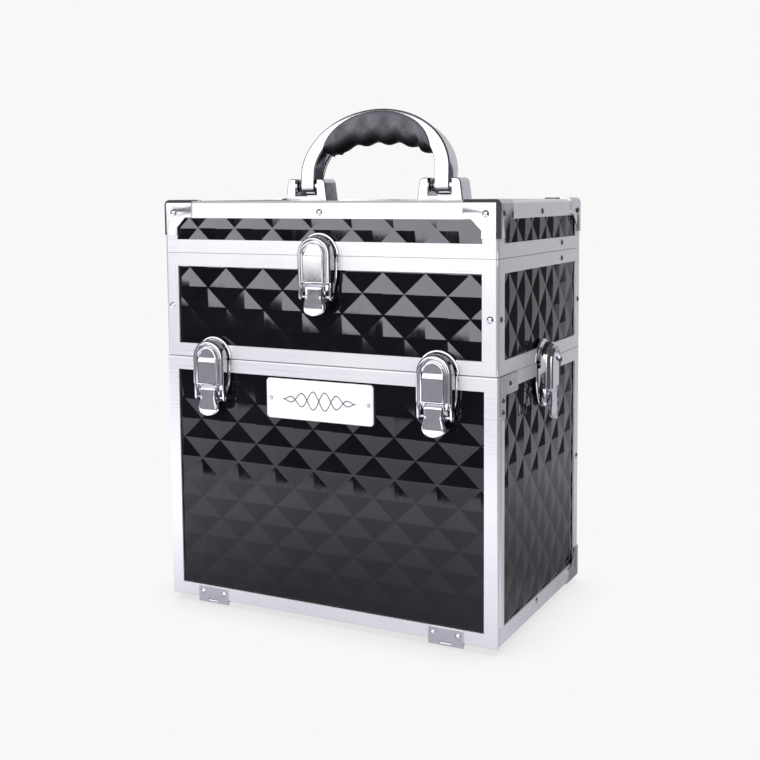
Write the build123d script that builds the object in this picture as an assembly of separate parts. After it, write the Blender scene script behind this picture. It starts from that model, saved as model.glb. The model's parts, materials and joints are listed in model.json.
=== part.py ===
from build123d import *
import os

# Makeup train case: a drop-front lower box, a lift-off upper box and a hinged lid.
# Millimetres, +Z up. The sub-parts are drawn with the middle of the case at x = y = 0 and the
# underside of the lowest edge at z = 0, and are moved to the part's own origin when written.

# Overall sizes
width = 300.0
depth = 194.0
lower_joint = 206.8
upper_joint = 293.5
top = 336.2
joint_gap = 0.2
foot_height = 4.5
case_back = 4.6

# Aluminium edges and boards
skin = 1.4
board = 4.0
lining = 1.2
corner_radius = 3.2
front_strip = 13.0
side_strip = 12.5
rail_face = 11.0
bottom_face = 15.0
top_face = 13.9
flange = 13.0
head_block = 5.0
tongue = 1.6
tongue_height = 3.0
groove = 4.0
groove_depth = 3.5

# Drop-front door
door_thickness = 4.0
door_gap = 0.4
door_rail = 11.0
door_side_gap = 0.2

# Rivets
rivet_radius = 2.75
rivet_dome = 1.1
shank_radius = 1.5
shank_length = 5.0
hole_clearance = 0.05

# Latches, measured from the joint line they close
latch_plate = 1.2
latch_half_width = 16.0
catch_half_width = 17.4
catch_top = 18.4
cover_half_width = 15.0
cover_top = 15.5
cover_bottom = -20.6
cover_rear = 3.6
cover_front = 12.5
cover_wall = 1.3
lever_pivot_out = 6.0
lever_pivot_z = -24.5
draw_pivot_out = 5.5
draw_pivot_z = -32.0
lever_tip_z = -46.5
latch_pin_radius = 1.2
front_latch_x = 102.0

# Butt hinges
leaf = 1.0
door_hinge_x = 107.5
door_hinge_width = 29.0
door_axis_y = -depth / 2 + 0.6
door_axis_z = -1.6
door_knuckle = 1.6
lid_hinge_x = 95.0
lid_hinge_width = 34.0
lid_axis_y = depth / 2 + 2.4
lid_knuckle = 2.0
knuckle_gap = 0.2

# Corner guards
guard_reach = 28.0
guard_leg = 13.5
guard_web = 8.5
guard_skin = 1.0

# Carrying handle
handle_x = 63.8
bracket_width = 41.5
bracket_depth = 20.6
bracket_top = 354.4
notch_width = 22.0
notch_floor = 339.4
handle_axis_z = 348.2
handle_lean = 14.0
bow_half_width = 71.0
bow_spring = 10.0
bow_rise = 55.4
bow_inner_half_width = 57.8
bow_inner_spring = 8.0
bow_inner_rise = 48.0
bow_half_depth = 10.0
bow_wall = 2.0
leg_end_radius = 7.9
grip_half_depth = 11.5

half_width = width / 2
half_depth = depth / 2
inner_leg = skin + board
channel = inner_leg + skin
body_front = -half_depth + door_thickness + door_gap


def block(x0, x1, y0, y1, z0, z1):
    """A box between two corners."""
    box = Box(x1 - x0, y1 - y0, z1 - z0)
    return Pos((x0 + x1) / 2, (y0 + y1) / 2, (z0 + z1) / 2) * box


def group(pieces):
    """Several separate solids that share one node."""
    return Compound([solid for piece in pieces for solid in piece.solids()])


def inset_block(inset, z0, z1, front=-half_depth):
    """The plan of the case, drawn in by an inset on its four sides."""
    x = half_width - inset
    return block(-x, x, front + inset, half_depth - inset, z0, z1)


def ring(outer_inset, inner_inset, z0, z1, front=-half_depth):
    """A rectangular band between two insets."""
    outer = inset_block(outer_inset, z0, z1, front)
    return outer - inset_block(inner_inset, z0 - 1, z1 + 1, front)


def wall(z0, z1, front=-half_depth):
    """The thin outer wall of the aluminium, rounded at the four upright corners."""
    outer = inset_block(0, z0, z1, front)
    outer = fillet(outer.edges().filter_by(Axis.Z), corner_radius)
    return outer - inset_block(skin, z0 - 1, z1 + 1, front)


def mitred(band, front=-half_depth):
    """Cut a rectangular band into four lengths that meet at 45 degrees."""
    half = (half_depth - front) / 2
    middle = (half_depth + front) / 2
    tip = half_width - half
    corners = [(-half_width, front), (half_width, front)]
    corners += [(half_width, half_depth), (-half_width, half_depth)]
    right_tip = (tip, middle)
    left_tip = (-tip, middle)
    ends = [(right_tip, left_tip), (right_tip,), (left_tip, right_tip), (left_tip,)]
    pieces = []
    for side in range(4):
        outline = [corners[side], corners[(side + 1) % 4], *ends[side]]
        prism = extrude(make_face(Polyline(*outline, close=True)), 400, both=True)
        pieces.append(band & prism)
    return group(pieces)


def joint_rail(joint, above, front=-half_depth):
    """Edge extrusion beside a joint: outer wall, solid head and a channel for the boards."""
    near = joint + joint_gap if above else joint - joint_gap
    far = joint + rail_face if above else joint - rail_face
    head = near + head_block if above else near - head_block
    body = wall(min(near, far), max(near, far), front)
    body += ring(skin / 2, channel, min(near, head), max(near, head), front)
    body += ring(inner_leg, channel, min(near, far), max(near, far), front)
    return body


def tongue_ring(joint):
    """Raised lip that locates the part above."""
    middle = channel / 2
    base = joint - joint_gap
    return ring(middle - tongue / 2, middle + tongue / 2, base - 1, base + tongue_height)


def groove_ring(joint):
    """Matching groove in the part above."""
    middle = channel / 2
    base = joint + joint_gap
    return ring(middle - groove / 2, middle + groove / 2, base - 1, base + groove_depth)


def corner_strips(z0, z1, front, side):
    """Four upright corner extrusions: L-shaped outside, as wide on each face as given."""
    shell = wall(z0, z1)
    gap_x = half_width - front
    gap_y = half_depth - side
    keep = inset_block(-1, z0, z1)
    keep -= block(-gap_x, gap_x, -half_depth - 2, half_depth + 2, z0 - 1, z1 + 1)
    keep -= block(-half_width - 2, half_width + 2, -gap_y, gap_y, z0 - 1, z1 + 1)
    return group([shell & keep])


def on_face(face, along, height, out=0.0):
    """A place on an outer face, with local +Z pointing outwards."""
    places = {
        "front": Pos(along, -half_depth - out, height) * Rot(X=90),
        "rear": Pos(along, half_depth + out, height) * Rot(X=-90),
        "right": Pos(half_width + out, along, height) * Rot(Y=90),
        "left": Pos(-half_width - out, along, height) * Rot(Y=-90),
        "under": Pos(along, height, -out) * Rot(X=180),
        "top": Pos(along, height, top + out),
    }
    return places[face]


def rivet(radius=rivet_radius, dome=rivet_dome, shank=shank_radius, length=shank_length):
    """Domed rivet with its head on z = 0."""
    ball = (radius**2 + dome**2) / (2 * dome)
    head = Pos(0, 0, dome - ball) * Sphere(ball)
    head &= block(-radius - 1, radius + 1, -radius - 1, radius + 1, 0, dome + 1)
    return head + Pos(0, 0, -length / 2) * Cylinder(shank, length)


def rivet_hole(shank=shank_radius, length=shank_length):
    """Clearance hole for a rivet's shank."""
    return Pos(0, 0, 0.5 - length / 2) * Cylinder(shank + hole_clearance, length + 1.1)


def rivets(places):
    return group([place * rivet() for place in places])


def drill(shape, places):
    """Clear the shanks of the rivets that pass through a sub-part."""
    return group([solid - [place * rivet_hole() for place in places] for solid in shape.solids()])


def both_sides(along, height, out=0.0):
    return [on_face(face, along, height, out) for face in ("left", "right")]


def save(name, shape):
    """Move a sub-part to the part's origin and write it."""
    place = Pos(0, case_back, foot_height)
    export_step(group([place * solid for solid in shape.solids()]), f"parts/{name}.step")


def guard_window(place, direction):
    """Cutter that leaves two legs and a slanting web on one face of a corner guard."""
    far = guard_reach + 1
    outline = [(guard_leg, far), (far, far), (far, guard_leg)]
    outline += [(guard_leg + guard_web, guard_leg), (guard_leg, guard_leg + guard_web)]
    face = make_face(Polyline(*[place(a, b) for a, b in outline], close=True))
    return extrude(face, 60, dir=direction, both=True)


def corner_guard(corner_z, inwards, envelope):
    """Pressed corner guard over three faces, at the +X +Y corner of the case."""
    x_out = half_width + guard_skin
    y_out = half_depth + guard_skin
    z_out = corner_z - inwards * guard_skin
    z_far = corner_z + inwards * guard_reach
    x_far = half_width - guard_reach
    y_far = half_depth - guard_reach
    guard = block(x_far, x_out, y_far, y_out, min(z_out, z_far), max(z_out, z_far))
    corner = Vector(x_out, y_out, z_out)
    edges = [edge for edge in guard.edges()
             if min((vertex.center() - corner).length for vertex in edge.vertices()) < 0.01]
    guard = fillet(edges, corner_radius + guard_skin) - envelope
    guard -= guard_window(lambda a, b: (half_width - a, half_depth - b, corner_z), (0, 0, 1))
    guard -= guard_window(lambda a, b: (half_width - a, half_depth, corner_z + inwards * b), (0, 1, 0))
    guard -= guard_window(lambda a, b: (half_width, half_depth - a, corner_z + inwards * b), (1, 0, 0))
    return guard


def envelope_block(z0, z1, rounded):
    """Outside of a tier with its rounded upright corners and one rounded end face."""
    body = inset_block(0, z0, z1)
    face = body.faces().sort_by(Axis.Z)[-1 if rounded > 0 else 0]
    edges = body.edges().filter_by(Axis.Z) + face.edges()
    return fillet(edges, corner_radius)


def standing(sketch, out_from, out_to):
    """Extrude a sketch drawn as (across, up) so that it stands off the face -Y."""
    solid = Rot(X=90) * extrude(sketch, out_to - out_from)
    return Pos(0, -out_from, 0) * solid


def cross_pin(radius, length, out, height):
    """Cylinder along X at a distance out from the face -Y."""
    return Pos(0, -out, height) * Rot(Y=90) * Cylinder(radius, length)


# Latch, drawn for a face looking towards -Y with the joint line at z = 0 ---------------------------

ear_inner = 6.9
ear_outer = 8.1
ear_radius = 2.8
arm_inner = 12.8
arm_outer = 14.6
draw_pin_end = 15.0
arm_radius = 3.0
knuckle_radius = 2.6


def latch_base():
    """Fixed plate below the joint, with two ears that carry the lever."""
    outline = [(-latch_half_width, -0.5), (-latch_half_width, -20), (-8.5, -36.8)]
    outline += [(-x, z) for x, z in reversed(outline)]
    sketch = make_face(Polyline(*outline, close=True))
    plate = fillet(sketch.vertices().sort_by(Axis.Y)[:4], 6.0)
    base = standing(plate, 0, latch_plate)
    for side in (-1, 1):
        middle = side * (ear_inner + ear_outer) / 2
        ear = block(middle - 0.6, middle + 0.6, -lever_pivot_out, -latch_plate / 2,
                    lever_pivot_z - ear_radius, lever_pivot_z + ear_radius)
        boss = cross_pin(ear_radius, ear_outer - ear_inner, lever_pivot_out, lever_pivot_z)
        ear += Pos(middle, 0, 0) * boss
        base += ear
    return base - cross_pin(latch_pin_radius, 30, lever_pivot_out, lever_pivot_z)


def latch_pin():
    return cross_pin(latch_pin_radius, 2 * ear_outer, lever_pivot_out, lever_pivot_z)


def latch_lever():
    """Finger lever that turns on the base and carries the draw cover's pin."""
    hub = cross_pin(knuckle_radius, 2 * ear_inner - 0.8, lever_pivot_out, lever_pivot_z)
    hub += block(-6.5, 6.5, -10.3, -lever_pivot_out, lever_pivot_z - knuckle_radius, lever_pivot_z + 1.2)
    edge = hub.edges().filter_by(Axis.X).sort_by(Axis.Y)[:2]
    hub = fillet(edge.sort_by(Axis.Z)[-1], 1.0)
    tab = [(-6.5, lever_pivot_z - 1), (-6.5, -30), (-7.4, -36), (-9.4, -41), (-9.4, lever_tip_z)]
    tab += [(-x, z) for x, z in reversed(tab)]
    sketch = make_face(Polyline(*tab, close=True))
    sketch = fillet(sketch.vertices().sort_by(Axis.Y)[:2], 5.0)
    lever = hub + standing(sketch, 8.3, 10.5)
    lever += block(-6.4, 6.4, -9, -3.4, draw_pivot_z - 2.4, draw_pivot_z + 2.4)
    for side in (-1, 1):
        lever += block(side * 7.2 - 0.9, side * 7.2 + 0.9, -9.4, -3.4, draw_pivot_z - 2.4, draw_pivot_z + 2.4)
    lever -= cross_pin(latch_pin_radius + hole_clearance, 30, lever_pivot_out, lever_pivot_z)
    lever -= cross_pin(latch_pin_radius, 30, draw_pivot_out, draw_pivot_z)
    return group([lever, cross_pin(latch_pin_radius, 2 * draw_pin_end, draw_pivot_out, draw_pivot_z)])


def cover_sketch(half, low, high):
    """Flat-bottomed outline with a half-round top."""
    straight = Pos(0, (low + high - half) / 2) * Rectangle(2 * half, high - half - low)
    round_top = Pos(0, high - half) * Circle(half)
    return straight + (round_top & Pos(0, (low + high) / 2) * Rectangle(2 * half, high - low))


def latch_cover():
    """Domed draw cover with two arms that reach down to its pin on the lever."""
    cover = standing(cover_sketch(cover_half_width, cover_bottom, cover_top), cover_rear, cover_front)
    face = cover.faces().sort_by(Axis.Y)[0]
    cover = fillet([edge for edge in face.edges() if edge.center().Z > cover_bottom + 1], 2.5)
    inside = cover_sketch(cover_half_width - cover_wall, cover_bottom - 2, cover_top - cover_wall)
    cover -= standing(inside, cover_rear - 1, cover_front - cover_wall)
    for side in (-1, 1):
        middle = side * (arm_inner + arm_outer) / 2
        half = (arm_outer - arm_inner) / 2
        arm = block(middle - half, middle + half, -draw_pivot_out - arm_radius, -cover_rear,
                    draw_pivot_z, cover_bottom + 3)
        arm += Pos(middle, 0, 0) * cross_pin(arm_radius, 2 * half, draw_pivot_out, draw_pivot_z)
        cover += arm
    return cover - cross_pin(latch_pin_radius + hole_clearance, 40, draw_pivot_out, draw_pivot_z)


def latch_catch():
    """Fixed plate above the joint with a low hook bar."""
    sketch = cover_sketch(catch_half_width, 0.5, catch_top)
    bar = block(-8, 8, -3.2, -latch_plate / 2, 9, 11.5)
    return standing(sketch, 0, latch_plate) + bar


def latch_place(face, along, joint):
    """Where a latch sits: its local -Y looks out of the face."""
    places = {
        "front": Pos(along, -half_depth, joint),
        "right": Pos(half_width, along, joint) * Rot(Z=90),
        "left": Pos(-half_width, along, joint) * Rot(Z=-90),
    }
    return places[face]


# Butt hinge, drawn along X ---------------------------------------------------------------------

def knuckles(x, length, spans, radius, axis_y, axis_z):
    """Barrel pieces of a hinge, each span given as fractions of its half length."""
    half = length / 2
    pieces = []
    for low, high in spans:
        barrel = Rot(Y=90) * Cylinder(radius, (high - low) * half - knuckle_gap)
        pieces.append(Pos(x + (low + high) / 2 * half, axis_y, axis_z) * barrel)
    return pieces


middle_share = 0.34
middle_span = [(-middle_share, middle_share)]
end_spans = [(-1, -middle_share), (middle_share, 1)]
hinge_pin_radius = 0.8


def hinge_cut(axis_y, axis_z):
    """Hole for hinge pins through the whole width of the case."""
    return Pos(0, axis_y, axis_z) * Rot(Y=90) * Cylinder(hinge_pin_radius + hole_clearance, width)


def hinge_pins(x, length, axis_y, axis_z):
    pin = Rot(Y=90) * Cylinder(hinge_pin_radius, length)
    return group([Pos(side * x, axis_y, axis_z) * pin for side in (-1, 1)])


os.makedirs("parts", exist_ok=True)

# Lower box -------------------------------------------------------------------------------------

board_top = lower_joint - joint_gap - head_block
strip_front = -84.0
hinge_rivet_step = 10.5
under_leaf_back = -78.0

lower_places = both_sides(-11.5, bottom_face * 0.75)
lower_places += both_sides(half_depth - side_strip / 2, 110.0)
lower_places += [on_face("rear", side * (half_width - front_strip / 2), 110.0) for side in (-1, 1)]
lower_places += both_sides(47.0, lower_joint - rail_face / 2)
lower_places += [on_face("rear", 0, z) for z in (lower_joint - rail_face / 2, bottom_face * 0.75)]
lower_places += both_sides(-74.0, 199.2, guard_skin)
lower_places += both_sides(-88.2, 188.0, guard_skin)
lower_places += both_sides(-88.2, 179.0, guard_skin)
for side in (-1, 1):
    for end in (-1, 1):
        x = side * door_hinge_x + end * hinge_rivet_step
        lower_places.append(on_face("under", x, under_leaf_back - 6, leaf))

side_boards = []
for side in (-1, 1):
    outer = side * (half_width - skin)
    inner = side * (half_width - inner_leg)
    x0, x1 = sorted((outer, inner))
    side_boards.append(block(x0, x1, body_front + skin, half_depth - skin, skin, board_top))
save("lower_side_boards", drill(group(side_boards), lower_places))

board_x = half_width - inner_leg
rear_board = block(-board_x, board_x, half_depth - inner_leg, half_depth - skin, skin, board_top)
save("lower_rear_board", drill(rear_board, lower_places))
floor_board = block(-board_x, board_x, body_front + skin, half_depth - inner_leg, skin, skin + board)
save("lower_floor_board", drill(floor_board, lower_places))

lower_shape = inset_block(0, 0, bottom_face, body_front)
lower_edges = lower_shape.edges().filter_by(Axis.Z).sort_by(Axis.Y)[-2:]
lower_under = lower_shape.faces().sort_by(Axis.Z)[0].edges().sort_by(Axis.Y)[1:]
lower_shape = fillet(lower_edges + lower_under, corner_radius)
bottom_band = lower_shape - inset_block(skin, skin, bottom_face + 1, body_front)
bottom_band -= inset_block(flange, -1, skin + 1, body_front)
save("lower_bottom_edges", drill(mitred(bottom_band, body_front), lower_places))

lower_rail = joint_rail(lower_joint, False, body_front)
lower_tongue = tongue_ring(lower_joint) - block(-half_width, half_width, -half_depth, strip_front, 0, top)
save("lower_top_rails", drill(mitred(lower_rail + lower_tongue, body_front), lower_places))

strip_end = lower_joint - rail_face
strip_zone = block(-half_width - 1, half_width + 1, body_front, strip_front, bottom_face, strip_end)
inner_x = half_width - rail_face + 2
strip_zone -= block(-inner_x, inner_x, -half_depth, half_depth, 0, top)
front_strips = wall(bottom_face, strip_end, body_front) & strip_zone
rear_zone = block(-half_width - 1, half_width + 1, half_depth - side_strip, half_depth + 1, 0, top)
rear_gap = half_width - front_strip
rear_zone -= block(-rear_gap, rear_gap, -half_depth, half_depth + 2, -1, top + 1)
rear_strips = wall(bottom_face, strip_end, body_front) & rear_zone
save("lower_corner_strips", drill(group([front_strips, rear_strips]), lower_places))

lining_x = half_width - inner_leg - lining
lining_back = half_depth - inner_leg - lining
lining_top = lower_joint - rail_face - joint_gap
shell = block(-board_x, board_x, body_front + channel, half_depth - inner_leg, skin + board, lining_top)
shell -= block(-lining_x, lining_x, -half_depth, lining_back, skin + board + lining, top)
save("lower_lining", shell)

bracket_top_z = lower_joint - joint_gap
brackets = []
for side in (-1, 1):
    x0, x1 = sorted((side * half_width, side * (half_width + guard_skin)))
    foot_plate = block(x0, x1, body_front, -58.0, 192.0, bracket_top_z)
    foot_plate += block(x0, x1, body_front, strip_front, 174.5, bracket_top_z)
    brackets.append(fillet(foot_plate.edges().filter_by(Axis.X), 1.8))
save("front_corner_brackets", drill(group(brackets), lower_places))

lower_guard = corner_guard(0, 1, envelope_block(0, 60, -1))
save("lower_corner_guards", group([lower_guard, mirror(lower_guard, Plane.YZ)]))
save("lower_rivets", rivets(lower_places))

foot_x = 125.0
foot_front = -66.0
foot_back = 71.0
foot = Pos(0, 0, (skin - foot_height) / 2) * Cylinder(8.0, foot_height + skin)
foot = fillet(foot.edges().sort_by(Axis.Z)[0], 1.0)
save("rubber_feet", group([Pos(x, y, 0) * foot for x in (-foot_x, foot_x) for y in (foot_front, foot_back)]))

under_leaves = []
for side in (-1, 1):
    x = side * door_hinge_x
    half = door_hinge_width / 2
    notch_back = door_axis_y + door_knuckle + knuckle_gap
    plate = block(x - half, x + half, door_axis_y, under_leaf_back, -leaf, 0)
    plate -= block(x - half - 1, x - middle_share * half, door_axis_y - 3, notch_back, -3, 3)
    plate -= block(x + middle_share * half, x + half + 1, door_axis_y - 3, notch_back, -3, 3)
    for barrel in knuckles(x, door_hinge_width, middle_span, door_knuckle, door_axis_y, door_axis_z):
        plate += barrel
    under_leaves.append(plate)
door_pin_cut = hinge_cut(door_axis_y, door_axis_z)
fixed_leaves = group([plate - door_pin_cut for plate in under_leaves])
save("door_hinge_fixed_leaves", drill(fixed_leaves, lower_places))
save("door_hinge_pins", hinge_pins(door_hinge_x, door_hinge_width, door_axis_y, door_axis_z))

side_places = [latch_place("left", 0, lower_joint), latch_place("right", 0, lower_joint)]
save("side_latch_bases", group([place * latch_base() for place in side_places]))
save("side_latch_pins", group([place * latch_pin() for place in side_places]))

# Drop-front door ---------------------------------------------------------------------------------

door_low = 0.3
door_high = lower_joint - 2 * joint_gap
door_back = -half_depth + door_thickness
door_x = half_width - door_side_gap
plate_middle = 177.5
plate_width = 97.5
plate_height = 32.5
plate_thickness = 1.4

door_leaf_top = 10.8
door_leaf_places = [on_face("front", side * door_hinge_x + end * hinge_rivet_step, 5.5, leaf)
                    for side in (-1, 1) for end in (-1, 1)]

frame = block(-door_x, door_x, -half_depth, door_back, door_low, door_high)
frame = fillet(frame.faces().sort_by(Axis.Y)[0].edges(), 1.2)
frame -= block(-door_x + door_rail, door_x - door_rail, -half_depth - 1, door_back + 1,
               door_low + door_rail, door_high - door_rail)
core_x = door_x - skin
core_low = door_low + skin
core_high = door_high - skin
frame -= block(-core_x, core_x, -half_depth + skin, door_back + 1, core_low, core_high)
middle_z = (door_low + door_high) / 2
rails = []
for side in range(4):
    upright = side % 2
    half_x = door_x
    half_z = middle_z - door_low
    tip = half_x - half_z
    sign = -1 if side < 2 else 1
    if upright:
        outline = [(sign * half_x, door_low), (sign * half_x, door_high), (sign * tip, middle_z)]
    else:
        edge_z = door_low if sign < 0 else door_high
        outline = [(-half_x, edge_z), (half_x, edge_z), (tip, middle_z), (-tip, middle_z)]
    prism = Rot(X=90) * extrude(make_face(Polyline(*outline, close=True)), 200, both=True)
    rails.append(frame & prism)
save("door_frame_rails", drill(group(rails), door_leaf_places))
door_board = block(-core_x, core_x, -half_depth + skin, door_back, core_low, core_high)
save("door_board", drill(door_board, door_leaf_places))
save("door_lining", block(-137, 137, door_back, door_back + 0.8, 18, 190))

leaves = []
for side in (-1, 1):
    x = side * door_hinge_x
    half = door_hinge_width / 2
    plate = block(x - half, x + half, -half_depth - leaf, -half_depth, door_axis_z, door_leaf_top)
    plate = fillet(plate.edges().filter_by(Axis.Y).sort_by(Axis.Z)[-2:], 2.0)
    notch = middle_share * half
    plate -= block(x - notch, x + notch, -half_depth - 3, -half_depth + 3, -4, door_low)
    for barrel in knuckles(x, door_hinge_width, end_spans, door_knuckle, door_axis_y, door_axis_z):
        plate += barrel
    leaves.append(plate)
moving_leaves = group([plate - door_pin_cut for plate in leaves])
save("door_hinge_moving_leaves", drill(moving_leaves, door_leaf_places))

plate_x = -2.5
plate_rivet_step = 44.5
plate_sketch = Pos(plate_x, plate_middle) * RectangleRounded(plate_width, plate_height, 3.0)
plate = standing(plate_sketch, half_depth - skin, half_depth - skin + plate_thickness)
plate_places = [on_face("front", plate_x + side * plate_rivet_step, plate_middle) for side in (-1, 1)]
small_rivets = [place * rivet(1.5, 0.7, 0.7, plate_thickness) for place in plate_places]
small_holes = [place * rivet_hole(0.7, plate_thickness) for place in plate_places]
save("name_plate", plate - small_holes)
save("door_rivets", group([rivets(door_leaf_places), *small_rivets]))

front_places = [latch_place("front", side * front_latch_x, lower_joint) for side in (-1, 1)]
save("front_latch_bases", group([place * latch_base() for place in front_places]))
save("front_latch_pins", group([place * latch_pin() for place in front_places]))

# Upper box -------------------------------------------------------------------------------------

upper_low = lower_joint + joint_gap + head_block
upper_high = upper_joint - joint_gap - head_block
strip_low = lower_joint + rail_face
strip_high = upper_joint - rail_face
strip_x = half_width - front_strip / 2
strip_y = half_depth - side_strip / 2
strip_z = (strip_low + strip_high) / 2 - 1.3

upper_places = [on_face(face, side * strip_x, strip_z)
                for face in ("front", "rear") for side in (-1, 1)]
upper_places += both_sides(-strip_y, strip_z) + both_sides(strip_y, strip_z)
upper_places += both_sides(47.0, upper_joint - rail_face / 2 - 1)


def wall_boards(low, high):
    """Four boards round a tier: the two side boards cover the ends of the front and rear ones."""
    band = ring(skin, inner_leg, low, high)
    across = block(-board_x, board_x, -half_depth, half_depth, low, high)
    return group([band & across, band - across])


save("upper_boards", drill(wall_boards(upper_low, upper_high), upper_places))

ledge = skin
floor_low = lower_joint + joint_gap + ledge
upper_rail = joint_rail(lower_joint, True) - groove_ring(lower_joint)
upper_rail += ring(channel - 0.2, flange, lower_joint + joint_gap, floor_low)
save("upper_bottom_rails", drill(mitred(upper_rail), upper_places))
save("upper_floor_board", inset_block(channel, floor_low, floor_low + board))
top_rail = joint_rail(upper_joint, False) + tongue_ring(upper_joint)
save("upper_top_rails", drill(mitred(top_rail), upper_places))
upper_strips = corner_strips(strip_low, strip_high, front_strip, side_strip)
save("upper_corner_strips", drill(upper_strips, upper_places))

liner = ring(inner_leg, inner_leg + lining, strip_low + joint_gap, strip_high - joint_gap)
floor_pad = inset_block(channel + 0.2, floor_low + board, floor_low + board + lining)
save("upper_lining", group([liner, floor_pad]))
save("upper_rivets", rivets(upper_places))

save("front_latch_catches", group([place * latch_catch() for place in front_places]))
save("side_latch_catches", group([place * latch_catch() for place in side_places]))
lid_place = latch_place("front", 0, upper_joint)
save("lid_latch_base", lid_place * latch_base())
save("lid_latch_pin", lid_place * latch_pin())


box_leaf_low = 277.0
lid_leaf_high = 310.0


def lid_leaves(low, high, spans, cut_spans):
    """One half of the two rear hinges: leaf, barrels and relief beside the other half's barrels."""
    pieces = []
    relief = lid_knuckle + knuckle_gap + 0.2
    for side in (-1, 1):
        x = side * lid_hinge_x
        half = lid_hinge_width / 2
        plate = block(x - half, x + half, half_depth, half_depth + leaf, low, high)
        for start, end in cut_spans:
            plate -= block(x + start * half - 0.1, x + end * half + 0.1, half_depth - 1, half_depth + 2,
                           upper_joint - relief, upper_joint + relief)
        for barrel in knuckles(x, lid_hinge_width, spans, lid_knuckle, lid_axis_y, upper_joint):
            plate += barrel
        pieces.append(plate)
    return group([plate - hinge_cut(lid_axis_y, upper_joint) for plate in pieces])


save("lid_hinge_box_leaves", lid_leaves(box_leaf_low, upper_joint, middle_span, end_spans))
save("lid_hinge_pins", hinge_pins(lid_hinge_x, lid_hinge_width, lid_axis_y, upper_joint))

# Lid ---------------------------------------------------------------------------------------------

lid_low = upper_joint + joint_gap + head_block
lid_board_top = top - skin
lid_strip_top = top - top_face

lid_places = [on_face("front", 0, 327.0), on_face("rear", 0, 327.0)]
lid_places += both_sides(-2.0, 327.0)
lid_places += both_sides(47.0, upper_joint + rail_face / 2 + 1)
guard_spot = guard_leg * 0.72
for face, reach in (("front", half_width), ("rear", half_width), ("left", half_depth), ("right", half_depth)):
    for side in (-1, 1):
        lid_places.append(on_face(face, side * (reach - guard_spot), top - guard_spot, guard_skin))

save("lid_wall_boards", drill(wall_boards(lid_low, lid_board_top), lid_places))
save("lid_top_board", drill(inset_block(inner_leg, lid_board_top - board, lid_board_top), lid_places))

lid_envelope = envelope_block(upper_joint + rail_face, top, 1)
top_band = lid_envelope & inset_block(-1, lid_strip_top, top + 1)
top_band -= inset_block(skin, lid_strip_top - 1, lid_board_top)
top_band -= inset_block(flange, top - 3, top + 1)
save("lid_top_edges", drill(mitred(top_band), lid_places))
lid_rail = joint_rail(upper_joint, True) - groove_ring(upper_joint)
save("lid_bottom_rails", drill(mitred(lid_rail), lid_places))
lid_strips = corner_strips(upper_joint + rail_face, lid_strip_top, front_strip, side_strip)
save("lid_corner_strips", drill(lid_strips, lid_places))

lid_guard = corner_guard(top, -1, lid_envelope)
guards = [lid_guard, mirror(lid_guard, Plane.YZ)]
guards += [mirror(guard, Plane.XZ) for guard in guards]
save("lid_corner_guards", drill(group(guards), lid_places))
save("lid_rivets", rivets(lid_places))
save("lid_latch_catch", lid_place * latch_catch())
save("lid_hinge_lid_leaves", lid_leaves(upper_joint, lid_leaf_high, end_spans, middle_span))

lid_liner = inset_block(inner_leg, upper_joint + rail_face + joint_gap, lid_board_top - board)
lid_liner -= inset_block(inner_leg + lining, upper_joint, lid_board_top - board - lining)
save("lid_lining", lid_liner)

# Handle ------------------------------------------------------------------------------------------

bracket_low = lid_board_top
bracket_taper = 2.6
pin_radius = 2.0
brackets = []
for side in (-1, 1):
    half = bracket_width / 2
    head = half - bracket_taper
    outline = [(-half, bracket_low), (half, bracket_low), (head, bracket_top), (-head, bracket_top)]
    sketch = make_face(Polyline(*outline, close=True))
    sketch = fillet(sketch.vertices().sort_by(Axis.Y)[-2:], 4.0)
    body = Rot(X=90) * extrude(sketch, bracket_depth / 2, both=True)
    for end in (0, -1):
        rim = body.faces().sort_by(Axis.Y)[end].edges()
        body = fillet(rim.filter_by(lambda edge: edge.center().Z > bracket_low + 1), 1.2)
    notch = notch_width / 2
    body -= block(-notch, notch, -bracket_depth, bracket_depth, notch_floor, bracket_top + 5)
    body -= Pos(0, 0, handle_axis_z) * Rot(Y=90) * Cylinder(pin_radius, bracket_width - 8)
    brackets.append(Pos(side * handle_x, 0, 0) * body)
save("handle_brackets", group(brackets))
handle_pin = Rot(Y=90) * Cylinder(pin_radius, bracket_width - 8)
pin_places = [Pos(side * handle_x, 0, handle_axis_z) for side in (-1, 1)]
save("handle_pins", group([place * handle_pin for place in pin_places]))


def arch(half, spring, rise):
    """Half ellipse on straight legs, measured up from the handle's axis."""
    legs = Pos(0, spring / 2) * Rectangle(2 * half, spring)
    oval = Pos(0, spring) * Ellipse(half, rise)
    return legs + (oval & Pos(0, spring + rise / 2) * Rectangle(2 * half, rise))


def upright(sketch, half):
    """Extrude a handle outline to both sides of its middle plane."""
    return Rot(X=90) * extrude(sketch, half, both=True)


outer_arch = arch(bow_half_width, bow_spring, bow_rise)
inner_arch = arch(bow_inner_half_width, bow_inner_spring, bow_inner_rise)
web_arch = arch(bow_half_width - bow_wall, bow_spring, bow_rise - bow_wall)
side_profile = Circle(leg_end_radius)
side_profile += make_face(Polyline((-7.6, 2), (7.6, 2), (10, 14), (10, 70), (-10, 70), (-10, 14), close=True))
bow = upright(outer_arch, bow_half_depth) - upright(inner_arch, bow_half_depth + 1)
bow -= upright(web_arch, bow_half_depth - bow_wall)
bow &= Rot(X=90) * Rot(Y=90) * extrude(side_profile, 100, both=True)
barrel = Rot(Y=90) * Cylinder(5.5, notch_width - 1.6)
for side in (-1, 1):
    bow += Pos(side * handle_x, 0, 0) * barrel
bow -= Rot(Y=90) * Cylinder(pin_radius + hole_clearance, width)
stand = Pos(0, 0, handle_axis_z) * Rot(X=-handle_lean)
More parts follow.
